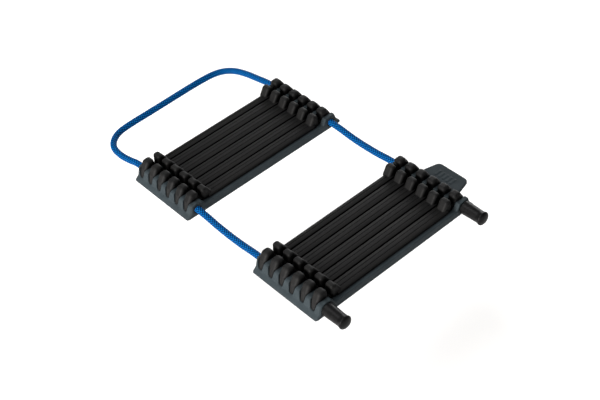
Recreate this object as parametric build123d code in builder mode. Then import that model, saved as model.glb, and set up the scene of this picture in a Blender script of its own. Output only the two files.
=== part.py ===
"""Protector for a round tube held in a carrier clamp.

Two flexible ribbed pads are strung on one elastic cord, which leaves the rear pad as an open loop and
ends in a cap on each side of the front pad. Lengths are in millimetres. X runs along the ribs, Y runs
from the front pad to the rear pad and the loop, and Z is up. The origin is the middle of the front
pad's underside. Strip 1 of each pad is the one nearest the loop, and strip 6 is the one with the flange.
"""

import os
from math import pi, radians, tan

from build123d import *

os.makedirs("parts", exist_ok=True)

# Ribs and pads
PITCH = 8.2  # from one rib to the next
RIB_COUNT = 6
FRONT_FLANGE = 0.2 * PITCH  # soft lip in front of the last rib
PAD_DEPTH = RIB_COUNT * PITCH + FRONT_FLANGE
PAD_SPACING = 12.94 * PITCH  # from the middle of one pad to the middle of the other
STRIP_GAP = 0.2  # slit between two neighbouring strips of the soft base

# Soft base
BASE_TOP = 0.57 * PITCH
BASE_HALF_LENGTH = 7.0 * PITCH
CORNER_RADIUS = 0.2 * PITCH
BACK_INSET = 0.16 * PITCH  # the plate stops short of the end walls at the back
WALL_INNER_X = 5.35 * PITCH
WALL_TOP = 0.99 * PITCH
WALL_TOP_INNER_X = 5.62 * PITCH
WALL_TOP_OUTER_X = 6.36 * PITCH
WALL_SHOULDER = (6.53 * PITCH, 0.92 * PITCH)  # X and Z where the outer face starts
WALL_KNEE = (6.71 * PITCH, 0.32 * PITCH)  # X and Z where the outer face steepens
WALL_FOOT = 0.07 * PITCH
FIT_GAP = 0.08  # all round a post in its pocket

# Hard ribs
RIB_TOP = 0.87 * PITCH
RIB_HALF_WIDTH = 0.44 * PITCH
RIB_SHOULDER = 0.8 * PITCH  # the top face is crowned from here up to RIB_TOP
BACK_RIB_EDGE = 0.15 * PITCH  # the rib next to the pad's back edge stops here behind its centre
FLUTE_OFFSET = 0.16 * PITCH
FLUTE_WIDTH = 0.5
INNER_POST_X = 4.44 * PITCH
INNER_POST_TOP_X = 4.84 * PITCH  # where the leaning inside face would meet the top
INNER_POST_TOP_OUTER_X = 5.24 * PITCH
INNER_POST_OUTER_X = 5.3 * PITCH
INNER_POST_HALF_WIDTH = 0.36 * PITCH
INNER_POST_TOP = 1.43 * PITCH
INNER_POST_ROUNDING = 0.19 * PITCH
CHANNEL_FLOOR = 0.72 * PITCH
OUTER_POST_X = 5.54 * PITCH
OUTER_POST_HALF_WIDTH = 0.35 * PITCH
OUTER_POST_TOP = 1.48 * PITCH
OUTER_POST_TOP_X = 6.13 * PITCH
OUTER_POST_SHOULDER = (6.44 * PITCH, 0.97 * PITCH)  # X and Z where the outer face steepens
OUTER_POST_ROUNDING = 0.24 * PITCH
OUTER_POST_FOOT = 1.0
NECK_TOP = WALL_TOP + FIT_GAP  # below this the post narrows to a neck
NECK_HALF_WIDTH = 0.29 * PITCH
TONGUE_X = 6.38 * PITCH  # outside this the neck tapers to a tongue in the wall's slot
TONGUE_OUTER_X = 6.64 * PITCH
TONGUE_FOOT = 0.32 * PITCH
TONGUE_TOP_HALF_WIDTH = 0.25 * PITCH
TONGUE_FOOT_HALF_WIDTH = 0.12 * PITCH
SLOT_TOP_HALF_WIDTH = 0.305 * PITCH
SLOT_FOOT_HALF_WIDTH = 0.17 * PITCH

# Elastic cord
CORD_RADIUS = 2.0
CORD_X = 6.05 * PITCH
CORD_Z = 0.49 * PITCH  # height of the cord's tunnels
CORD_REST_Z = CORD_RADIUS + 0.3  # height of the free cord's middle where it lies on the surface
BEND_SHARE = 0.45  # of a straight run that the arc at each of its ends may take
TUNNEL_RADIUS = 2.15
MOUTH_RADIUS = 0.54 * PITCH  # rounded lip round the tunnel at the pad's front
MOUTH_LENGTH = 0.26 * PITCH

# End caps and the crimps inside them
CAP_LENGTH = 1.8 * PITCH
CAP_ROOT_RADIUS = 3.95
CAP_WAIST_RADIUS = 3.6
CAP_LIP_RADIUS = 4.0
CAP_LIP_LENGTH = 4.0
CAP_END_ROUNDING = 1.6
CAP_EDGE_ROUNDING = 0.4
CAP_BORE_RADIUS = 2.1
CHAMBER_RADIUS = 2.9
CHAMBER_START = 3.5  # from the cap's open end
CHAMBER_END = 11.6
CRIMP_RADIUS = 2.75
CRIMP_BORE_RADIUS = CORD_RADIUS + 0.03
CRIMP_START = 4.5
CRIMP_LENGTH = 6.0

# Pull tab on the front pad
TAB_BOTTOM = 0.2
TAB_TOP = 2.0
TAB_ROOT_X = 6.75 * PITCH
TAB_TIP_X = 8.31 * PITCH
TAB_ROOT_HALF_WIDTH = 1.76 * PITCH
TAB_TIP_HALF_WIDTH = 1.42 * PITCH
TAB_CORNER_RADIUS = 0.38 * PITCH

BACK_EDGE = PAD_DEPTH / 2
FRONT_EDGE = -PAD_DEPTH / 2
REAR_PAD_FRONT = PAD_SPACING + FRONT_EDGE
REAR_PAD_BACK = PAD_SPACING + BACK_EDGE


def strip_edges(index):
    """Front and back Y of a strip, from the pad's middle; index 0 is the strip at the back."""
    back = BACK_EDGE - index * PITCH
    front = FRONT_EDGE if index == RIB_COUNT - 1 else back - PITCH
    back -= STRIP_GAP / 2 if index > 0 else 0
    front += STRIP_GAP / 2 if index < RIB_COUNT - 1 else 0
    return front, back


def rib_centre(index):
    return BACK_EDGE - (index + 0.5) * PITCH


def save(part, name):
    part.label = name
    export_step(part, f"parts/{name}.step")


def make_outer_post(y):
    """Tall round-edged post at the rib's +X end; its narrow neck stands in the wall and holds the cord."""
    with BuildPart() as post:
        with BuildSketch(Plane.XZ.offset(-y)):
            with BuildLine():
                Polyline(
                    (OUTER_POST_X, OUTER_POST_FOOT),
                    (OUTER_POST_X, OUTER_POST_TOP),
                    (OUTER_POST_TOP_X, OUTER_POST_TOP),
                    OUTER_POST_SHOULDER,
                    (TONGUE_OUTER_X, TONGUE_FOOT),
                    (TONGUE_OUTER_X, OUTER_POST_FOOT),
                    close=True,
                )
            make_face()
        extrude(amount=OUTER_POST_HALF_WIDTH, both=True)
        sides = post.faces().filter_by(Axis.Y)
        uprights = sides.edges().filter_by(lambda edge: edge.center().Z > NECK_TOP / 2)
        crown = post.faces().sort_by(Axis.Z)[-1].edges()
        fillet(ShapeList(set(uprights + crown)), radius=OUTER_POST_ROUNDING)
        # Each neck: where it starts, its half width at the top, and the half width and Z of its foot.
        necks = (
            (0, NECK_HALF_WIDTH, NECK_HALF_WIDTH, 0),
            (TONGUE_X, TONGUE_TOP_HALF_WIDTH, TONGUE_FOOT_HALF_WIDTH, TONGUE_FOOT),
        )
        for start_x, top_half, foot_half, foot_z in necks:
            with BuildSketch(Plane.YZ.offset(start_x)):
                with Locations((y, NECK_TOP / 2)):
                    Rectangle(PITCH, NECK_TOP)
                with BuildLine():
                    Polyline(
                        (y - top_half, NECK_TOP),
                        (y - foot_half, foot_z),
                        (y + foot_half, foot_z),
                        (y + top_half, NECK_TOP),
                        close=True,
                    )
                make_face(mode=Mode.SUBTRACT)
            extrude(amount=BASE_HALF_LENGTH, mode=Mode.SUBTRACT)
        with BuildSketch(Plane.XZ.offset(-y)):
            with Locations((CORD_X, CORD_Z)):
                Circle(TUNNEL_RADIUS)
        extrude(amount=PITCH, both=True, mode=Mode.SUBTRACT)
    return post.part


def make_inner_post(y):
    """Shorter round-edged post whose inside face leans outwards."""
    with BuildPart() as post:
        with BuildSketch(Plane.XZ.offset(-y)):
            with BuildLine():
                Polyline(
                    (INNER_POST_X, BASE_TOP),
                    (INNER_POST_X, RIB_SHOULDER),
                    (INNER_POST_TOP_X, INNER_POST_TOP),
                    (INNER_POST_TOP_OUTER_X, INNER_POST_TOP),
                    (INNER_POST_OUTER_X, RIB_TOP),
                    (INNER_POST_OUTER_X, BASE_TOP),
                    close=True,
                )
            make_face()
        extrude(amount=INNER_POST_HALF_WIDTH, both=True)
        sides = post.faces().filter_by(Axis.Y)
        uprights = sides.edges().filter_by(lambda edge: edge.center().Z > BASE_TOP + FIT_GAP)
        crown = post.faces().sort_by(Axis.Z)[-1].edges()
        fillet(ShapeList(set(uprights + crown)), radius=INNER_POST_ROUNDING)
    return post.part


def make_rib(y, back_half_width):
    """Rib with a crowned, fluted top and two posts at each end."""
    outer_post = make_outer_post(y)
    inner_post = make_inner_post(y)
    front = y - RIB_HALF_WIDTH
    back = y + back_half_width
    with BuildPart() as rib:
        with BuildSketch(Plane.YZ):
            with BuildLine():
                Polyline(
                    (front, RIB_SHOULDER),
                    (front, BASE_TOP),
                    (back, BASE_TOP),
                    (back, RIB_SHOULDER),
                )
                ThreePointArc((back, RIB_SHOULDER), ((front + back) / 2, RIB_TOP), (front, RIB_SHOULDER))
            make_face()
        extrude(amount=INNER_POST_TOP_X)
        with BuildSketch(Plane.YZ):
            flutes = [side for side in (-FLUTE_OFFSET, FLUTE_OFFSET) if y + side < back - FLUTE_WIDTH]
            with Locations(*[(y + side, RIB_TOP) for side in flutes]):
                Rectangle(FLUTE_WIDTH, FLUTE_WIDTH, rotation=45)
        extrude(amount=INNER_POST_X, mode=Mode.SUBTRACT)
        with BuildSketch(Plane.XY.offset(BASE_TOP)):
            with Locations(((INNER_POST_X + CORD_X) / 2, y)):
                Rectangle(CORD_X - INNER_POST_X - 2 * TUNNEL_RADIUS, 2 * NECK_HALF_WIDTH)
        extrude(amount=CHANNEL_FLOOR - BASE_TOP)
        add(inner_post)
        add(outer_post)
        mirror(about=Plane.YZ)
    return rib.part


def tab_outline():
    """Plan of the pull tab as X and Y corners, without its root."""
    return [
        (TAB_ROOT_X, -TAB_ROOT_HALF_WIDTH),
        (TAB_TIP_X, -TAB_TIP_HALF_WIDTH),
        (TAB_TIP_X, TAB_TIP_HALF_WIDTH),
        (TAB_ROOT_X, TAB_ROOT_HALF_WIDTH),
    ]


def make_base_strip(pad_y, index, has_tab):
    """One strip of the soft base: a plate, and an end wall with half a tooth each side of the post."""
    front, back = strip_edges(index)
    middle = pad_y + (front + back) / 2
    depth = back - front
    post_y = pad_y + rib_centre(index)
    plate_back = back - BACK_INSET if index == 0 else back
    with BuildPart() as strip:
        with BuildSketch(Plane.XZ.offset(-pad_y - front)):
            with BuildLine():
                Polyline(
                    (WALL_INNER_X, 0),
                    (BASE_HALF_LENGTH, 0),
                    (BASE_HALF_LENGTH, WALL_FOOT),
                    WALL_KNEE,
                    WALL_SHOULDER,
                    (WALL_TOP_OUTER_X, WALL_TOP),
                    (WALL_TOP_INNER_X, WALL_TOP),
                    (WALL_INNER_X, BASE_TOP),
                    (WALL_INNER_X, 0),
                )
            make_face()
        extrude(amount=-depth)
        if index == RIB_COUNT - 1:
            with BuildSketch(Plane.XZ.offset(-pad_y - front)):
                with Locations((CORD_X, CORD_Z)):
                    Circle(MOUTH_RADIUS)
                with Locations((CORD_X, -MOUTH_RADIUS)):
                    Rectangle(4 * MOUTH_RADIUS, 2 * MOUTH_RADIUS, mode=Mode.SUBTRACT)
            extrude(amount=-MOUTH_LENGTH)
        # The neck's pocket, and above the plate the room for the block between the two posts.
        for inner_x, floor_z in ((OUTER_POST_X, OUTER_POST_FOOT - FIT_GAP), (WALL_INNER_X, BASE_TOP)):
            with BuildSketch(Plane.XY.offset(floor_z)):
                with Locations(((inner_x + TONGUE_X) / 2, post_y)):
                    Rectangle(TONGUE_X - inner_x + 2 * FIT_GAP, 2 * (NECK_HALF_WIDTH + FIT_GAP))
            extrude(amount=PITCH, mode=Mode.SUBTRACT)
        with BuildSketch(Plane.YZ.offset(TONGUE_X)):
            with BuildLine():
                Polyline(
                    (post_y - SLOT_FOOT_HALF_WIDTH, TONGUE_FOOT - FIT_GAP),
                    (post_y + SLOT_FOOT_HALF_WIDTH, TONGUE_FOOT - FIT_GAP),
                    (post_y + SLOT_TOP_HALF_WIDTH, WALL_TOP),
                    (post_y - SLOT_TOP_HALF_WIDTH, WALL_TOP),
                    close=True,
                )
            make_face()
        extrude(amount=PITCH, mode=Mode.SUBTRACT)
        with BuildSketch(Plane.XZ.offset(-middle)):
            with Locations((CORD_X, CORD_Z)):
                Circle(TUNNEL_RADIUS)
        extrude(amount=depth, both=True, mode=Mode.SUBTRACT)
        mirror(about=Plane.YZ)
        with BuildSketch(Plane.XY):
            with Locations((0, pad_y + (front + plate_back) / 2)):
                Rectangle(2 * WALL_INNER_X, plate_back - front)
        extrude(amount=BASE_TOP)
        # The pad's outer corners are round in plan.
        with BuildSketch(Plane.XY):
            with Locations((0, pad_y)):
                RectangleRounded(2 * BASE_HALF_LENGTH, PAD_DEPTH, CORNER_RADIUS)
        extrude(amount=2 * PITCH, mode=Mode.INTERSECT)
        if has_tab:
            with BuildSketch(Plane.XY.offset(TAB_BOTTOM)) as tab:
                with BuildLine():
                    Polyline(*tab_outline(), close=True)
                make_face()
                fillet(tab.vertices().group_by(Axis.X)[-1], radius=TAB_CORNER_RADIUS)
                with Locations((TAB_TIP_X, middle)):
                    Rectangle(4 * PITCH, depth, mode=Mode.INTERSECT)
            extrude(amount=TAB_TOP - TAB_BOTTOM)
    return strip.part


def make_tunnel_cord(front, back):
    """The two straight stretches of cord that one strip holds."""
    with BuildPart() as stretch:
        with BuildSketch(Plane.XZ.offset(-front)):
            with Locations((CORD_X, CORD_Z), (-CORD_X, CORD_Z)):
                Circle(CORD_RADIUS)
        extrude(amount=front - back)
    return stretch.part


def make_cord(points, name):
    """A free stretch of cord: straight runs joined by tangent arcs as large as the runs allow."""
    vectors = [Vector(*point) for point in points]
    runs = [after - before for before, after in zip(vectors, vectors[1:])]
    radii = []
    for before, after in zip(runs, runs[1:]):
        turn = before.get_angle(after)
        radii.append(BEND_SHARE * min(before.length, after.length) / tan(radians(turn) / 2))
    with BuildPart() as cord:
        with BuildLine() as path:
            FilletPolyline(*points, radius=radii)
        route = path.wire()
        with BuildSketch(Plane(origin=route @ 0, z_dir=route % 0)):
            Circle(CORD_RADIUS)
        sweep(path=route)
    length = route.length
    print(name, "radii", [round(radius, 1) for radius in radii], "length", round(length, 1))
    section = pi * CORD_RADIUS**2
    print(name, "volume", round(cord.part.volume, 1), "section x length", round(section * length, 1))
    return cord.part


def make_cap(x):
    """Hollow end cap that tapers to a waist and flares to a lip."""
    waist_y = FRONT_EDGE - CAP_LENGTH + CAP_LIP_LENGTH
    end_y = FRONT_EDGE - CAP_LENGTH
    with BuildPart() as cap:
        with BuildSketch(Plane.XY.offset(CORD_Z)):
            with BuildLine():
                Polyline(
                    (x, end_y),
                    (x, FRONT_EDGE - CHAMBER_END),
                    (x + CHAMBER_RADIUS, FRONT_EDGE - CHAMBER_END),
                    (x + CHAMBER_RADIUS, FRONT_EDGE - CHAMBER_START),
                    (x + CAP_BORE_RADIUS, FRONT_EDGE - CHAMBER_START),
                    (x + CAP_BORE_RADIUS, FRONT_EDGE),
                    (x + CAP_ROOT_RADIUS - CAP_EDGE_ROUNDING, FRONT_EDGE),
                    (x + CAP_ROOT_RADIUS, FRONT_EDGE - CAP_EDGE_ROUNDING),
                    (x + CAP_WAIST_RADIUS, waist_y),
                )
                Spline(
                    (x + CAP_WAIST_RADIUS, waist_y),
                    (x + CAP_LIP_RADIUS, end_y + CAP_END_ROUNDING),
                    (x, end_y),
                    tangents=[(0, -1), (-1, 0)],
                )
            make_face()
        revolve(axis=Axis((x, 0, CORD_Z), (0, 1, 0)))
    return cap.part


def make_crimp(x):
    """Metal sleeve squeezed on the cord's end inside the cap."""
    with BuildPart() as crimp:
        with BuildSketch(Plane.XZ.offset(-FRONT_EDGE + CRIMP_START)):
            with Locations((x, CORD_Z)):
                Circle(CRIMP_RADIUS)
                Circle(CRIMP_BORE_RADIUS, mode=Mode.SUBTRACT)
        extrude(amount=CRIMP_LENGTH)
    return crimp.part


def leg_route(x):
    """Cord from the front pad's back edge to the rear pad's front edge, sagging to the surface."""
    return [
        (x, BACK_EDGE, CORD_Z),
        (x, BACK_EDGE + 6, CORD_Z),
        (x, BACK_EDGE + 17, CORD_REST_Z + 0.2),
        (x, BACK_EDGE + 36, CORD_REST_Z),
        (x, REAR_PAD_FRONT - 7, CORD_Z),
        (x, REAR_PAD_FRONT, CORD_Z),
    ]


# The loop behind the rear pad, from its +X side round to its -X side.
LOOP_ROUTE = [
    (CORD_X, REAR_PAD_BACK, CORD_Z),
    (CORD_X, REAR_PAD_BACK + 6, CORD_Z),
    (49.2, REAR_PAD_BACK + 15, 2.5),
    (47.6, REAR_PAD_BACK + 26, CORD_REST_Z),
    (43.8, REAR_PAD_BACK + 35.5, CORD_REST_Z),
    (35.8, REAR_PAD_BACK + 41, CORD_REST_Z),
    (22.0, REAR_PAD_BACK + 41.9, CORD_REST_Z),
    (3.0, REAR_PAD_BACK + 41.5, CORD_REST_Z),
    (-16.0, REAR_PAD_BACK + 41.0, CORD_REST_Z),
    (-30.0, REAR_PAD_BACK + 40.9, CORD_REST_Z),
    (-40.0, REAR_PAD_BACK + 40.0, CORD_REST_Z),
    (-46.8, REAR_PAD_BACK + 36.0, CORD_REST_Z),
    (-51.0, REAR_PAD_BACK + 29.5, CORD_REST_Z),
    (-51.6, REAR_PAD_BACK + 20.0, CORD_REST_Z),
    (-50.4, REAR_PAD_BACK + 12.0, 2.8),
    (-CORD_X, REAR_PAD_BACK + 5.5, CORD_Z),
    (-CORD_X, REAR_PAD_BACK, CORD_Z),
]


def main():
    for pad, pad_y in (("front", 0.0), ("rear", PAD_SPACING)):
        for index in range(RIB_COUNT):
            number = index + 1
            front, back = strip_edges(index)
            is_last = index == RIB_COUNT - 1
            back_half_width = BACK_RIB_EDGE if index == 0 else RIB_HALF_WIDTH
            has_tab = pad == "front" and 1 <= index <= 4
            save(make_rib(pad_y + rib_centre(index), back_half_width), f"{pad}_rib_{number}")
            save(make_base_strip(pad_y, index, has_tab), f"{pad}_base_{number}")
            cord_front = front - CRIMP_START - CRIMP_LENGTH if pad == "front" and is_last else front
            save(make_tunnel_cord(pad_y + cord_front, pad_y + back), f"{pad}_tunnel_cord_{number}")
    for side, x in (("right", CORD_X), ("left", -CORD_X)):
        save(make_cord(leg_route(x), f"cord_leg_{side}"), f"cord_leg_{side}")
        save(make_cap(x), f"end_cap_{side}")
        save(make_crimp(x), f"cord_crimp_{side}")
    save(make_cord(LOOP_ROUTE, "cord_loop"), "cord_loop")


main()
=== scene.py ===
"""Looks of the tube protector: two ribbed pads strung on one braided elastic cord.

The ribs and the end caps are the CAD nodes with moulded materials. The soft bases and the free cord are
built here. Lengths are in metres, in the CAD model's own frame: X along the ribs, Y from the front pad to
the rear pad and the loop, Z up.
"""

import math

import bmesh
import bpy
import numpy as np
from mathutils import Matrix, Vector


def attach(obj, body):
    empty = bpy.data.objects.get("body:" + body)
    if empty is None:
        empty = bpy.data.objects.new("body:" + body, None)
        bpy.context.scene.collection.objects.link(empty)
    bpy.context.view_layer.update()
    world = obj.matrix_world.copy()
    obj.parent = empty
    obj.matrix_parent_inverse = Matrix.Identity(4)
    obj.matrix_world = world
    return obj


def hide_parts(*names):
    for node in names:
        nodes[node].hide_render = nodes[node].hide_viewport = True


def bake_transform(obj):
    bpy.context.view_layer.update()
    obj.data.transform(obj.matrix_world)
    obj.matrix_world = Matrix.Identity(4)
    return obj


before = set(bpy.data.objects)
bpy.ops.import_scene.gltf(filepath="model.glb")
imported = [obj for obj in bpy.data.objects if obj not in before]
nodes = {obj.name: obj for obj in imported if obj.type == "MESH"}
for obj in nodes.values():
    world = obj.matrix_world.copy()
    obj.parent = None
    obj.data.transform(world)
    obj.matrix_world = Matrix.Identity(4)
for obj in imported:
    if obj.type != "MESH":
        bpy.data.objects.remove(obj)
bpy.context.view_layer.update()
MM = 0.001

# ---------------------------------------------------------------- sizes, as in part.py
PITCH = 8.2 * MM
RIB_COUNT = 6
PAD_DEPTH = 6.2 * PITCH
PAD_SPACING = 12.94 * PITCH
BACK_EDGE = PAD_DEPTH / 2
FRONT_EDGE = -PAD_DEPTH / 2
REAR_PAD_FRONT = PAD_SPACING + FRONT_EDGE
REAR_PAD_BACK = PAD_SPACING + BACK_EDGE
PAD_MIDDLES = {"front": 0.0, "rear": PAD_SPACING}

BASE_TOP = 0.57 * PITCH
BASE_HALF_LENGTH = 7.0 * PITCH
CORNER_RADIUS = 0.2 * PITCH
BACK_INSET = 0.16 * PITCH
WALL_INNER_X = 5.35 * PITCH
WALL_TOP = 0.99 * PITCH
WALL_TOP_INNER_X = 5.62 * PITCH
WALL_TOP_OUTER_X = 6.36 * PITCH
WALL_SHOULDER = (6.53 * PITCH, 0.92 * PITCH)
WALL_KNEE = (6.71 * PITCH, 0.32 * PITCH)
WALL_FOOT = 0.07 * PITCH
TONGUE_X = 6.38 * PITCH
SLOT_FOOT = 0.32 * PITCH
SLOT_FOOT_HALF_WIDTH = 0.17 * PITCH
SLOT_TOP_HALF_WIDTH = 0.305 * PITCH
POCKET_HALF_WIDTH = 0.3 * PITCH

CORD_RADIUS = 2.0 * MM
CORD_X = 6.05 * PITCH
CORD_Z = 0.49 * PITCH
CORD_REST_Z = CORD_RADIUS + 0.3 * MM  # height of the free cord's middle where it lies lowest
TUNNEL_RADIUS = 2.15 * MM
MOUTH_RADIUS = 0.54 * PITCH
MOUTH_LENGTH = 0.26 * PITCH

TAB_BOTTOM = 0.2 * MM
TAB_TOP = 2.0 * MM
TAB_ROOT_X = 6.6 * PITCH
TAB_TIP_X = 8.31 * PITCH
TAB_ROOT_HALF_WIDTH = 1.79 * PITCH
TAB_TIP_HALF_WIDTH = 1.42 * PITCH
TAB_CORNER_RADIUS = 0.38 * PITCH
BAR_COUNT = 5  # plain raised bars across the tab
BAR_SPACING = 0.34 * PITCH
BAR_HALF_WIDTH = 0.09 * PITCH
BAR_START_X = 7.2 * PITCH
BAR_END_X = 7.75 * PITCH
BAR_HEIGHT = 0.2 * MM


# ---------------------------------------------------------------- material helpers
def new_material(name, colour, roughness, specular=0.5):
    """A Principled material, and the handles that the patterns below attach to."""
    material = bpy.data.materials.new(name)
    material.use_nodes = True
    tree = material.node_tree
    shader = tree.nodes["Principled BSDF"]
    shader.inputs["Base Color"].default_value = (*colour, 1)
    shader.inputs["Roughness"].default_value = roughness
    shader.inputs["Specular IOR Level"].default_value = specular
    return material, tree, shader


def noise(tree, scale, detail=3.0, stretch=(1, 1, 1)):
    """Noise in the object's own coordinates, in features per metre, stretched by direction."""
    place = tree.nodes.new("ShaderNodeTexCoord")
    mapping = tree.nodes.new("ShaderNodeMapping")
    mapping.inputs["Scale"].default_value = stretch
    texture = tree.nodes.new("ShaderNodeTexNoise")
    texture.inputs["Scale"].default_value = scale
    texture.inputs["Detail"].default_value = detail
    tree.links.new(place.outputs["Object"], mapping.inputs["Vector"])
    tree.links.new(mapping.outputs["Vector"], texture.inputs["Vector"])
    return texture.outputs["Fac"]


def ramp(tree, value, low_colour, high_colour, low=0.3, high=0.7):
    """Turns a value into a colour between two."""
    node = tree.nodes.new("ShaderNodeValToRGB")
    node.color_ramp.elements[0].position = low
    node.color_ramp.elements[0].color = (*low_colour, 1)
    node.color_ramp.elements[1].position = high
    node.color_ramp.elements[1].color = (*high_colour, 1)
    tree.links.new(value, node.inputs["Fac"])
    return node.outputs["Color"]


def spread_value(tree, value, low, high):
    """Maps a value from 0..1 to low..high."""
    node = tree.nodes.new("ShaderNodeMapRange")
    node.inputs["To Min"].default_value = low
    node.inputs["To Max"].default_value = high
    tree.links.new(value, node.inputs["Value"])
    return node.outputs["Result"]


def bump(tree, shader, height, strength, distance, edge_radius=0.0):
    """Bump on the shader's normal, over edges softened by edge_radius."""
    node = tree.nodes.new("ShaderNodeBump")
    node.inputs["Strength"].default_value = strength
    node.inputs["Distance"].default_value = distance
    tree.links.new(height, node.inputs["Height"])
    if edge_radius:
        soft = tree.nodes.new("ShaderNodeBevel")
        soft.samples = 6
        soft.inputs["Radius"].default_value = edge_radius
        tree.links.new(soft.outputs["Normal"], node.inputs["Normal"])
    tree.links.new(node.outputs["Normal"], shader.inputs["Normal"])


def painted_gap_shade(tree, reach):
    """Painted shade: a factor that is dark in narrow gaps and 1 on open faces, which deepens the shade
    between crowded parts when multiplied into a colour.
    """
    node = tree.nodes.new("ShaderNodeAmbientOcclusion")
    node.samples = 6
    node.inputs["Distance"].default_value = reach
    return ramp(tree, node.outputs["AO"], grey(0.1), grey(1.0), 0.25, 0.85)


def multiply(tree, a, b, share):
    """Colour a times colour b, by that share."""
    node = tree.nodes.new("ShaderNodeMix")
    node.data_type = "RGBA"
    node.blend_type = "MULTIPLY"
    node.inputs["Factor"].default_value = share
    tree.links.new(a, node.inputs["A"])
    tree.links.new(b, node.inputs["B"])
    return node.outputs["Result"]


def grey(level):
    """The same level in red, green and blue."""
    return (level, level, level)


# ---------------------------------------------------------------- materials
def make_rib_material():
    """Matte black moulded plastic: fine spark texture, faint flow marks along the rib, soft edges, and
    painted shade that darkens the colour and lowers the specular in narrow gaps.
    """
    material, tree, shader = new_material("rib_matte_black", grey(0.010), 0.55, 0.12)
    flow = noise(tree, 260, 4, (0.12, 1, 1))
    colour = ramp(tree, flow, (0.0048, 0.0048, 0.0050), (0.0080, 0.0078, 0.0076))
    # painted shade: the colour and the specular fall in narrow gaps between the ribs, posts and walls
    painted_crevice_shade = painted_gap_shade(tree, 7 * MM)
    tree.links.new(multiply(tree, colour, painted_crevice_shade, 1.0), shader.inputs["Base Color"])
    tree.links.new(spread_value(tree, painted_crevice_shade, 0.0, 0.12), shader.inputs["Specular IOR Level"])
    tree.links.new(spread_value(tree, noise(tree, 700, 2), 0.48, 0.64), shader.inputs["Roughness"])
    bump(tree, shader, noise(tree, 5200, 2), 0.22, 0.00006, 0.0006)
    return material


def make_base_material():
    """Slate blue thermoplastic rubber with a fine matte grain and faint mottling, and painted shade that
    darkens the colour in narrow gaps.
    """
    material, tree, shader = new_material("base_slate_rubber", (0.03, 0.04, 0.05), 0.6, 0.08)
    mottle = noise(tree, 150, 5)
    colour = ramp(tree, mottle, (0.021, 0.028, 0.032), (0.029, 0.038, 0.043))
    # painted shade: the colour darkens in narrow gaps
    tree.links.new(multiply(tree, colour, painted_gap_shade(tree, 7 * MM), 1.0), shader.inputs["Base Color"])
    tree.links.new(spread_value(tree, noise(tree, 420, 3), 0.52, 0.70), shader.inputs["Roughness"])
    bump(tree, shader, noise(tree, 4200, 3), 0.25, 0.00007)
    return material


def make_cap_material():
    """Satin black end caps, a little glossier than the ribs."""
    material, tree, shader = new_material("cap_satin_black", grey(0.006), 0.4, 0.08)
    colour = ramp(tree, noise(tree, 300, 3), (0.0035, 0.0035, 0.0037), (0.0055, 0.0055, 0.0057))
    tree.links.new(colour, shader.inputs["Base Color"])
    tree.links.new(spread_value(tree, noise(tree, 900, 2), 0.30, 0.42), shader.inputs["Roughness"])
    bump(tree, shader, noise(tree, 3800, 2), 0.12, 0.00005, 0.0003)
    return material


def make_crimp_material():
    """Pressed aluminium sleeve with fine marks round it."""
    material, tree, shader = new_material("crimp_aluminium", (0.78, 0.78, 0.76), 0.4, 0.5)
    shader.inputs["Metallic"].default_value = 1.0
    marks = noise(tree, 900, 3, (1, 8, 1))
    tree.links.new(ramp(tree, marks, (0.62, 0.62, 0.60), (0.84, 0.84, 0.83)), shader.inputs["Base Color"])
    tree.links.new(spread_value(tree, marks, 0.30, 0.50), shader.inputs["Roughness"])
    return material


def attribute(tree, name):
    """A value that the mesh carries at its points."""
    node = tree.nodes.new("ShaderNodeAttribute")
    node.attribute_name = name
    return node.outputs["Fac"]


def make_cord_material():
    """Blue braided polyester with painted shade that makes it dark between the yarns, and fine fibres along
    each yarn.
    """
    material, tree, shader = new_material("cord_blue_braid", (0.002, 0.06, 0.24), 0.62, 0.04)
    # painted shade: the colour falls to near black where the braid is low, between the yarns
    yarn = ramp(tree, attribute(tree, "lift"), (0.0, 0.010, 0.050), (0.0, 0.18, 0.57), 0.55, 0.98)
    tone = ramp(tree, noise(tree, 900, 3), grey(0.72), grey(1.0))
    fibre = ramp(tree, attribute(tree, "fibre"), grey(0.7), grey(1.0), 0.2, 0.8)
    tree.links.new(multiply(tree, multiply(tree, yarn, tone, 1.0), fibre, 0.6), shader.inputs["Base Color"])
    tree.links.new(spread_value(tree, noise(tree, 1500, 2), 0.55, 0.75), shader.inputs["Roughness"])
    bump(tree, shader, attribute(tree, "fibre"), 0.3, 0.00005)
    return material


def make_hidden_cord_material():
    """The same blue on the stretches inside the tunnels, with a plain woven bump."""
    material, tree, shader = new_material("cord_blue_inside", (0.01, 0.09, 0.33), 0.65, 0.3)
    weave = noise(tree, 1300, 3)
    tree.links.new(ramp(tree, weave, (0.003, 0.05, 0.2), (0.011, 0.115, 0.40)), shader.inputs["Base Color"])
    bump(tree, shader, weave, 0.5, 0.0001)
    return material


def make_floor_material():
    """Pale paper sweep."""
    material, tree, shader = new_material("floor_paper", grey(0.97), 0.9, 0.2)
    tree.links.new(ramp(tree, noise(tree, 6, 2), grey(0.96), grey(0.98)), shader.inputs["Base Color"])
    return material


RIB = make_rib_material()
BASE = make_base_material()
CAP = make_cap_material()
CRIMP = make_crimp_material()
CORD = make_cord_material()
HIDDEN_CORD = make_hidden_cord_material()


def dress_cad_nodes():
    """Gives every CAD node that stays in view its own finish."""
    finishes = (("_rib_", RIB), ("_tunnel_cord_", HIDDEN_CORD), ("end_cap", CAP), ("cord_crimp", CRIMP))
    for name, node in nodes.items():
        for part_of_name, material in finishes:
            if part_of_name in name:
                node.data.materials.clear()
                node.data.materials.append(material)


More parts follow.
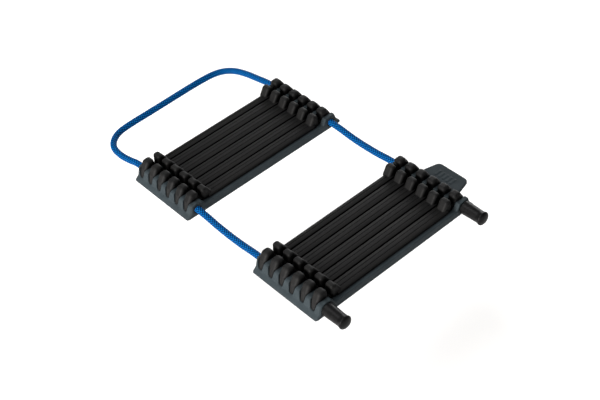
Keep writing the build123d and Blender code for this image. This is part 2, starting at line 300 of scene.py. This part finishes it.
# ---------------------------------------------------------------- soft bases
VOXEL = 0.35 * MM  # the moulding's solid is remeshed at this size, which also rounds its edges
SMOOTHING = 4
OVERLAP = 0.2 * PITCH  # by which the blocks of a wall reach into one another before they are joined
FLANGE_BLOCK_DEPTH = 0.25 * PITCH  # of the solid block at the front end of each wall
MOUTH_SEGMENTS = 24
TAB_CORNER_STEPS = 8
TUNNEL_SEGMENTS = 48
TUNNEL_CUT_LENGTH = 8 * MM


def add_hull(mesh, points):
    """Adds the convex solid round some points."""
    corners = [mesh.verts.new(point) for point in points]
    made = bmesh.ops.convex_hull(mesh, input=corners)
    loose = [item for item in made["geom_interior"] if isinstance(item, bmesh.types.BMVert)]
    bmesh.ops.delete(mesh, geom=loose, context="VERTS")


def add_prism(mesh, side, section, low_y, high_y):
    """Adds a convex XZ section pushed along Y. side is 1 or -1 for the pad's +X or -X end."""
    add_hull(mesh, [(side * x, y, z) for x, z in section for y in (low_y, high_y)])


def add_tooth(mesh, side, y, low_y, high_y):
    """One tooth of an end wall: a block between two posts, and an outer face that is wide at its foot."""
    inner_half = 0.5 * PITCH - POCKET_HALF_WIDTH
    foot_half = 0.5 * PITCH - SLOT_FOOT_HALF_WIDTH
    top_half = 0.5 * PITCH - SLOT_TOP_HALF_WIDTH
    inner = [
        (WALL_INNER_X, OVERLAP),
        (WALL_INNER_X, BASE_TOP),
        (WALL_TOP_INNER_X, WALL_TOP),
        (TONGUE_X, WALL_TOP),
        (TONGUE_X, OVERLAP),
    ]
    add_prism(mesh, side, inner, max(low_y, y - inner_half), min(high_y, y + inner_half))
    points = []
    for x, z, half in (
        (TONGUE_X - OVERLAP, SLOT_FOOT, foot_half),
        (WALL_KNEE[0], SLOT_FOOT, foot_half),
        (TONGUE_X - OVERLAP, WALL_TOP, top_half),
        (WALL_TOP_OUTER_X, WALL_TOP, top_half),
        (*WALL_SHOULDER, top_half),
    ):
        for edge in (max(low_y, y - half), min(high_y, y + half)):
            points.append((side * x, edge, z))
    add_hull(mesh, points)


def add_wall(mesh, side, middle):
    """One end wall: a continuous band with a tooth between neighbouring posts and at both ends."""
    front, back = middle + FRONT_EDGE, middle + BACK_EDGE
    band = [
        (WALL_INNER_X - PITCH, 0),
        (BASE_HALF_LENGTH, 0),
        (BASE_HALF_LENGTH, WALL_FOOT),
        WALL_KNEE,
        (WALL_INNER_X - PITCH, WALL_KNEE[1]),
    ]
    add_prism(mesh, side, band, front, back)
    for number in range(RIB_COUNT + 1):
        add_tooth(mesh, side, back - number * PITCH, front, back)
    flange_block = [
        (WALL_INNER_X, OVERLAP),
        (WALL_INNER_X, BASE_TOP),
        (WALL_TOP_INNER_X, WALL_TOP),
        (WALL_TOP_OUTER_X, WALL_TOP),
        WALL_SHOULDER,
        (WALL_KNEE[0], SLOT_FOOT),
    ]
    add_prism(mesh, side, flange_block, front, front + FLANGE_BLOCK_DEPTH)


def add_mouth(mesh, side, middle):
    """Rounded lip round the tunnel at the pad's front."""
    front = middle + FRONT_EDGE
    ring = []
    for step in range(MOUTH_SEGMENTS):
        angle = 2 * math.pi * step / MOUTH_SEGMENTS
        z = max(0, CORD_Z + MOUTH_RADIUS * math.sin(angle))
        ring.append((CORD_X + MOUTH_RADIUS * math.cos(angle), z))
    add_prism(mesh, side, ring, front, front + MOUTH_LENGTH)


def add_tab(mesh):
    """Pull tab of the front pad: a thin tongue with round corners."""
    outline = [(TAB_ROOT_X, -TAB_ROOT_HALF_WIDTH), (TAB_ROOT_X, TAB_ROOT_HALF_WIDTH)]
    for sign in (-1, 1):
        centre_x = TAB_TIP_X - TAB_CORNER_RADIUS
        centre_y = sign * (TAB_TIP_HALF_WIDTH - TAB_CORNER_RADIUS)
        for step in range(TAB_CORNER_STEPS + 1):
            angle = math.pi / 2 * step / TAB_CORNER_STEPS
            x = centre_x + TAB_CORNER_RADIUS * math.cos(angle)
            y = centre_y + sign * TAB_CORNER_RADIUS * math.sin(angle)
            outline.append((x, y))
    add_hull(mesh, [(x, y, z) for x, y in outline for z in (TAB_BOTTOM, TAB_TOP)])


def raise_bars(data):
    """Lifts the tab's top face into a row of plain bars."""
    for vertex in data.vertices:
        x, y, z = vertex.co
        bar = round(y / BAR_SPACING)
        across = abs(y - bar * BAR_SPACING)
        on_bar = abs(bar) <= BAR_COUNT // 2 and across < BAR_HALF_WIDTH and BAR_START_X < x < BAR_END_X
        if on_bar and abs(z - TAB_TOP) < BAR_HEIGHT:
            vertex.co.z += BAR_HEIGHT
    data.update()


def cut_tunnels(solid, middle):
    """Opens the cord's tunnels at the pad's front and back."""
    mesh = bmesh.new()
    for x in (CORD_X, -CORD_X):
        for y in (middle + FRONT_EDGE, middle + BACK_EDGE):
            turn = Matrix.Rotation(math.pi / 2, 4, "X")
            bmesh.ops.create_cone(
                mesh,
                cap_ends=True,
                segments=TUNNEL_SEGMENTS,
                radius1=TUNNEL_RADIUS,
                radius2=TUNNEL_RADIUS,
                depth=TUNNEL_CUT_LENGTH,
                matrix=Matrix.Translation((x, y, CORD_Z)) @ turn,
            )
    cutter = mesh_object("tunnel_cutter", mesh)
    cut = solid.modifiers.new("tunnels", "BOOLEAN")
    cut.operation = "DIFFERENCE"
    cut.solver = "EXACT"
    cut.object = cutter
    apply_modifiers(solid)
    bpy.data.objects.remove(cutter)


def mesh_object(name, mesh):
    """Turns a bmesh into an object in the scene."""
    data = bpy.data.meshes.new(name)
    mesh.to_mesh(data)
    mesh.free()
    made = bpy.data.objects.new(name, data)
    bpy.context.scene.collection.objects.link(made)
    return made


def apply_modifiers(thing):
    """Makes the modifiers' result the object's own mesh."""
    evaluated = thing.evaluated_get(bpy.context.evaluated_depsgraph_get())
    data = bpy.data.meshes.new_from_object(evaluated)
    thing.modifiers.clear()
    thing.data = data


def round_corners(data, middle):
    """Rounds the pad's four upright corners, following the lean of the end walls."""
    count = len(data.vertices)
    points = np.empty(count * 3)
    data.vertices.foreach_get("co", points)
    points = points.reshape(-1, 3)
    heights = [0, WALL_FOOT, WALL_KNEE[1], WALL_SHOULDER[1], WALL_TOP]
    reaches = [BASE_HALF_LENGTH, BASE_HALF_LENGTH, WALL_KNEE[0], WALL_SHOULDER[0], WALL_TOP_OUTER_X]
    reach = np.interp(points[:, 2], heights, reaches)
    over_x = np.abs(points[:, 0]) - (reach - CORNER_RADIUS)
    over_y = np.abs(points[:, 1] - middle) - (PAD_DEPTH / 2 - CORNER_RADIUS)
    corner = (over_x > 0) & (over_y > 0) & (np.abs(points[:, 0]) < reach + 0.5 * MM)
    longest = np.maximum(over_x, over_y)
    shrink = longest[corner] / np.hypot(over_x[corner], over_y[corner])
    for axis, over, centre in ((0, over_x, 0), (1, over_y, middle)):
        away = np.sign(points[corner, axis] - centre)
        points[corner, axis] -= away * over[corner] * (1 - shrink)
    data.vertices.foreach_set("co", points.ravel())
    data.update()


def make_base_moulding(pad):
    """The whole soft base of one pad as one smooth skin."""
    middle = PAD_MIDDLES[pad]
    mesh = bmesh.new()
    plate = [(-1, 0), (-1, BASE_TOP), (1, BASE_TOP), (1, 0)]
    section = [(x * (WALL_INNER_X + 0.1 * PITCH), z) for x, z in plate]
    add_prism(mesh, 1, section, middle + FRONT_EDGE, middle + BACK_EDGE - BACK_INSET)
    for side in (1, -1):
        add_wall(mesh, side, middle)
        add_mouth(mesh, side, middle)
    if pad == "front":
        add_tab(mesh)
    solid = mesh_object(f"{pad}_base_solid", mesh)
    union = solid.modifiers.new("union", "REMESH")
    union.mode = "VOXEL"
    union.voxel_size = VOXEL
    apply_modifiers(solid)
    cut_tunnels(solid, middle)
    soften = solid.modifiers.new("soften", "SMOOTH")
    soften.factor = 0.5
    soften.iterations = SMOOTHING
    apply_modifiers(solid)
    round_corners(solid.data, middle)
    if pad == "front":
        raise_bars(solid.data)
    return solid


def slice_between(solid, name, low_y, high_y):
    """The part of the moulding between two planes across Y."""
    mesh = bmesh.new()
    mesh.from_mesh(solid.data)
    for y, normal in ((low_y, -1), (high_y, 1)):
        geometry = mesh.verts[:] + mesh.edges[:] + mesh.faces[:]
        bmesh.ops.bisect_plane(
            mesh,
            geom=geometry,
            plane_co=(0, y, 0),
            plane_no=(0, normal, 0),
            clear_outer=True,
        )
    for face in mesh.faces:
        face.smooth = True
    piece = mesh_object(name, mesh)
    piece.data.materials.append(BASE)
    return piece


def make_base(pad):
    """Cuts the moulding at the middle of each strip into slices; the end slices ride with the first and
    last strips.
    """
    middle = PAD_MIDDLES[pad]
    solid = make_base_moulding(pad)
    strip_middles = [middle + BACK_EDGE - (index + 0.5) * PITCH for index in range(RIB_COUNT)]
    edges = [middle + BACK_EDGE + PITCH, *strip_middles, middle + FRONT_EDGE - PITCH]
    for number in range(RIB_COUNT + 1):
        piece = slice_between(solid, f"{pad}_base_slice_{number + 1}", edges[number + 1], edges[number])
        if number == 0:
            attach(piece, f"{pad}_strip_1")
            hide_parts(f"{pad}_base_1")
        elif number == RIB_COUNT:
            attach(piece, f"{pad}_strip_{RIB_COUNT}")
            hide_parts(f"{pad}_base_{RIB_COUNT}")
        else:
            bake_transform(piece)
            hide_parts(f"{pad}_base_{number}", f"{pad}_base_{number + 1}")
    bpy.data.objects.remove(solid)


# ---------------------------------------------------------------- braided cord
YARNS = 8  # in each direction round the cord
LEAD = 14 * MM  # along the cord for one turn of a yarn
RELIEF = 0.3 * MM
RING_SEGMENTS = 56
RING_SPACING = 0.32 * MM
TUCK = 4.2 * MM  # how far the free cord's mesh reaches into a tunnel
FIBRES = 4  # light lines along each yarn


def route_line(points):
    """Points along the smooth NURBS line that has these control points."""
    curve = bpy.data.curves.new("route", "CURVE")
    curve.dimensions = "3D"
    spline = curve.splines.new("NURBS")
    spline.points.add(len(points) - 1)
    for control, point in zip(spline.points, points):
        control.co = (*point, 1)
    spline.order_u = 3
    spline.use_endpoint_u = True
    spline.resolution_u = 40
    holder = bpy.data.objects.new("route", curve)
    line = bpy.data.meshes.new_from_object(holder)
    found = np.array([vertex.co for vertex in line.vertices])
    bpy.data.objects.remove(holder)
    bpy.data.curves.remove(curve)
    bpy.data.meshes.remove(line)
    steps = np.linalg.norm(np.diff(found, axis=0), axis=1)
    along = np.concatenate([[0], np.cumsum(steps)])
    even = np.linspace(0, along[-1], int(along[-1] / RING_SPACING) + 1)
    return np.stack([np.interp(even, along, found[:, axis]) for axis in range(3)], axis=1)


def ring_frames(line):
    """Two cross directions at each point of a line, carried along it without twist."""
    tangents = np.gradient(line, axis=0)
    tangents /= np.linalg.norm(tangents, axis=1)[:, None]
    first = np.cross(tangents[0], (0, 0, 1.0))
    first /= np.linalg.norm(first)
    sides = [first]
    for tangent in tangents[1:]:
        side = sides[-1] - tangent * (sides[-1] @ tangent)
        sides.append(side / np.linalg.norm(side))
    sides = np.array(sides)
    return sides, np.cross(tangents, sides)


def braid_pattern(around, along):
    """Height of the braid, and the place across the yarn on top, for angles and distances."""
    turn = around / (2 * math.pi) * YARNS
    run = along / LEAD * YARNS
    over, under = turn + run, turn - run
    across_over, across_under = over - np.round(over), under - np.round(under)
    sign = 1 - 2 * ((np.round(over) + np.round(under)) % 2)
    weave = 0.5 * sign
    height_over = np.sqrt(np.cos(math.pi * across_over)) * (0.5 + weave * np.cos(math.pi * across_under))
    height_under = np.sqrt(np.cos(math.pi * across_under)) * (0.5 - weave * np.cos(math.pi * across_over))
    height = np.maximum(height_over, height_under)
    place = np.where(height_over > height_under, across_over, across_under)
    return height, place


def braided_tube(name, line, start_along=0.0):
    """A braided tube round a line of ring centres."""
    count = len(line)
    steps = np.linalg.norm(np.diff(line, axis=0), axis=1)
    along = start_along + np.concatenate([[0], np.cumsum(steps)])
    around = np.linspace(0, 2 * math.pi, RING_SEGMENTS, endpoint=False)
    grid_around, grid_along = np.meshgrid(around, along)
    height, place = braid_pattern(grid_around, grid_along)
    radius = CORD_RADIUS + 0.02 * MM - RELIEF * (1 - height)
    side, up = ring_frames(line)
    outward = np.cos(grid_around)[..., None] * side[:, None] + np.sin(grid_around)[..., None] * up[:, None]
    points = (line[:, None] + radius[..., None] * outward).reshape(-1, 3)
    ring, step = np.meshgrid(np.arange(count - 1), np.arange(RING_SEGMENTS), indexing="ij")
    after = (step + 1) % RING_SEGMENTS
    quads = np.stack(
        [
            ring * RING_SEGMENTS + step,
            ring * RING_SEGMENTS + after,
            (ring + 1) * RING_SEGMENTS + after,
            (ring + 1) * RING_SEGMENTS + step,
        ],
        axis=-1,
    ).reshape(-1, 4)
    data = bpy.data.meshes.new(name)
    data.from_pydata(points.tolist(), [], quads.tolist())
    data.shade_smooth()
    fibre = 0.5 + 0.5 * np.cos(2 * math.pi * FIBRES * place)
    for attribute_name, values in (("lift", height), ("fibre", fibre)):
        data.attributes.new(attribute_name, "FLOAT", "POINT").data.foreach_set("value", values.ravel())
    data.materials.append(CORD)
    tube = bpy.data.objects.new(name, data)
    bpy.context.scene.collection.objects.link(tube)
    return tube


def line_length(line):
    return float(np.linalg.norm(np.diff(line, axis=0), axis=1).sum())


def make_leg(side_name, x):
    """Free cord between the pads, made as a front half and a rear half."""
    route = [
        (x, BACK_EDGE - TUCK, CORD_Z),
        (x, BACK_EDGE + 6 * MM, CORD_Z),
        (x, BACK_EDGE + 17 * MM, CORD_REST_Z + 0.2 * MM),
        (x, BACK_EDGE + 36 * MM, CORD_REST_Z),
        (x, REAR_PAD_FRONT - 7 * MM, CORD_Z),
        (x, REAR_PAD_FRONT + TUCK, CORD_Z),
    ]
    line = route_line(route)
    half = len(line) // 2
    front_line, rear_line = line[: half + 1], line[half:]
    front_half = braided_tube(f"leg_{side_name}_front_half", front_line)
    rear_half = braided_tube(f"leg_{side_name}_rear_half", rear_line, line_length(front_line))
    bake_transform(front_half)
    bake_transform(rear_half)
    for tube, tube_line, leaves in (
        (front_half, front_line, (x, BACK_EDGE, CORD_Z)),
        (rear_half, rear_line, (x, REAR_PAD_FRONT, CORD_Z)),
    ):
        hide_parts(f"cord_leg_{side_name}")


def make_loop():
    """The loop behind the rear pad, from its +X side round to its -X side."""
    beyond_pad = [
        (CORD_X / MM, -TUCK / MM, CORD_Z / MM),
        (CORD_X / MM, 6, CORD_Z / MM),
        (49.2, 15, 2.5),
        (47.6, 26, 2.3),
        (43.8, 35.5, 2.3),
        (35.8, 41, 2.3),
        (22.0, 41.9, 2.3),
        (3.0, 41.5, 2.3),
        (-16.0, 41.0, 2.3),
        (-30.0, 40.9, 2.3),
        (-40.0, 40.0, 2.3),
        (-46.8, 36.0, 2.3),
        (-51.0, 29.5, 2.3),
        (-51.6, 20.0, 2.3),
        (-50.4, 12.0, 2.8),
        (-CORD_X / MM, 5.5, CORD_Z / MM),
        (-CORD_X / MM, -TUCK / MM, CORD_Z / MM),
    ]
    line = route_line([(x * MM, REAR_PAD_BACK + y * MM, z * MM) for x, y, z in beyond_pad])
    loop = braided_tube("loop_braid", line)
    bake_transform(loop)
    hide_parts("cord_loop")


# ---------------------------------------------------------------- stage, light and camera
FLOOR_DEPTH = 110 * MM  # below the object, which leaves room for the pads and the cord to curl down


def make_floor():
    """White floor, far enough down that it takes only a faint shadow."""
    mesh = bmesh.new()
    bmesh.ops.create_grid(mesh, x_segments=1, y_segments=1, size=6)
    floor = mesh_object("floor", mesh)
    floor.location.z = -FLOOR_DEPTH
    floor.data.materials.append(make_floor_material())


def make_light(name, place, aim, width, height, power, colour=(1, 1, 1)):
    """Rectangular soft light at a place, facing another."""
    data = bpy.data.lights.new(name, "AREA")
    data.shape = "RECTANGLE"
    data.size = width
    data.size_y = height
    data.energy = power
    data.color = colour
    light = bpy.data.objects.new(name, data)
    light.location = place
    light.rotation_euler = (Vector(aim) - Vector(place)).to_track_quat("-Z", "Y").to_euler()
    bpy.context.scene.collection.objects.link(light)


def make_world(strength):
    world = bpy.data.worlds.new("studio")
    world.use_nodes = True
    background = world.node_tree.nodes["Background"]
    background.inputs["Color"].default_value = (0.97, 0.98, 1.0, 1)
    background.inputs["Strength"].default_value = strength
    bpy.context.scene.world = world


def make_lights():
    centre = (0, PAD_SPACING / 2, 0)
    make_light("overhead", (-0.6, 0.3, 1.5), centre, 1.1, 1.1, 23)
    make_light("low_left", (-1.5, -0.15, 0.42), centre, 0.9, 0.6, 46, (1.0, 0.97, 0.94))
    make_light("rim_right", (1.5, 0.9, 0.5), centre, 1.6, 0.6, 26)
    make_world(0.10)


CAMERA_PLACE = (-0.29408, -0.35630, 0.46136)
CAMERA_HEADING = math.radians(54.3235)  # from +X towards +Y
CAMERA_DOWN = math.radians(42.844)
CAMERA_ROLL = math.radians(-8.2487)
CAMERA_LENS = 73.744


def make_camera():
    """Camera above the front left corner, with the object lying obliquely across the picture."""
    level = Vector((math.cos(CAMERA_HEADING), math.sin(CAMERA_HEADING), 0))
    forward = level * math.cos(CAMERA_DOWN) - Vector((0, 0, math.sin(CAMERA_DOWN)))
    right = Vector((math.sin(CAMERA_HEADING), -math.cos(CAMERA_HEADING), 0))
    up = right.cross(forward)
    rolled_right = right * math.cos(CAMERA_ROLL) + up * math.sin(CAMERA_ROLL)
    rolled_up = up * math.cos(CAMERA_ROLL) - right * math.sin(CAMERA_ROLL)
    data = bpy.data.cameras.new("camera")
    data.sensor_width = 36
    data.lens = CAMERA_LENS
    camera = bpy.data.objects.new("camera", data)
    turned = Matrix((rolled_right, rolled_up, -forward)).transposed().to_4x4()
    camera.matrix_world = Matrix.Translation(CAMERA_PLACE) @ turned
    bpy.context.scene.collection.objects.link(camera)
    bpy.context.scene.camera = camera


# ---------------------------------------------------------------- the scene
make_camera()
for leg_side, leg_x in (("right", CORD_X), ("left", -CORD_X)):
    make_leg(leg_side, leg_x)
make_loop()
dress_cad_nodes()
for pad_name in PAD_MIDDLES:
    make_base(pad_name)
make_floor()
make_lights()
bpy.context.scene.view_settings.view_transform = "Standard"

bpy.context.view_layer.update()
